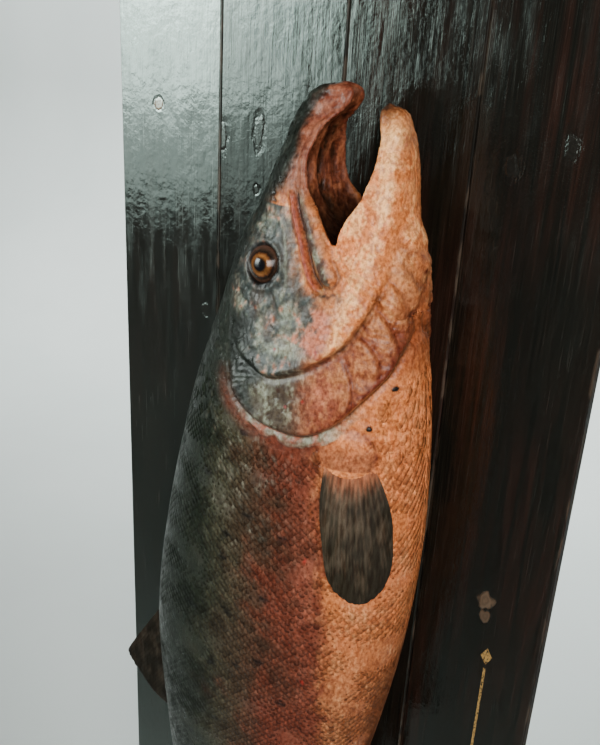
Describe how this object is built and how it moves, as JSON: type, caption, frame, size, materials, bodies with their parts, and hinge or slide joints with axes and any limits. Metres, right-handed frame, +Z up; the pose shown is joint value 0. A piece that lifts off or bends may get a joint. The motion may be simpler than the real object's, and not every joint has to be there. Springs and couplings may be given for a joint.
{
  "type": "mounted trophy salmon on a plank board",
  "caption": "Trophy salmon mounted head up with its mouth open, lying along a tall board of dark stained planks that hangs flat on a wall.",
  "frame": {"origin": "centre of the wall side of the middle batten", "axes": "+Z up along the planks, +Y into the wall, +X to the right as seen by a viewer in front, on the fish's belly side"},
  "size_m": [0.4196, 0.1639, 1.24],
  "materials": {
    "head_skin": "painted and lacquered skin, silver grey cheek, rust and cream jaw",
    "flank_skin": "painted and lacquered scaled skin, olive back, red flank, tan belly",
    "fin_skin": "dark lacquered fin rays",
    "glass_eye": "amber glass eye with a black pupil",
    "stained_wood": "black-brown stain under worn semi-gloss lacquer",
    "batten_wood": "thinly stained rough wood"
  },
  "bodies": {
    "root": {"head": "head_skin", "lower_jaw": "head_skin", "maxilla_right": "head_skin", "maxilla_left": "head_skin", "gill_cover_right": "head_skin", "gill_cover_left": "head_skin", "trunk_front": "flank_skin", "trunk_middle": "flank_skin", "trunk_rear": "flank_skin", "tail_stock": "flank_skin", "dorsal_fin": "fin_skin", "adipose_fin": "fin_skin", "anal_fin": "fin_skin", "tail_fin": "fin_skin", "pectoral_fin_right": "fin_skin", "pectoral_fin_left": "fin_skin", "pelvic_fin_right": "fin_skin", "pelvic_fin_left": "fin_skin", "eye_right": "glass_eye", "eye_left": "glass_eye", "plank_1": "stained_wood", "plank_2": "stained_wood", "plank_3": "stained_wood", "plank_4": "stained_wood", "batten_1": "batten_wood", "batten_2": "batten_wood", "batten_3": "batten_wood"}
  },
  "joints": []
}
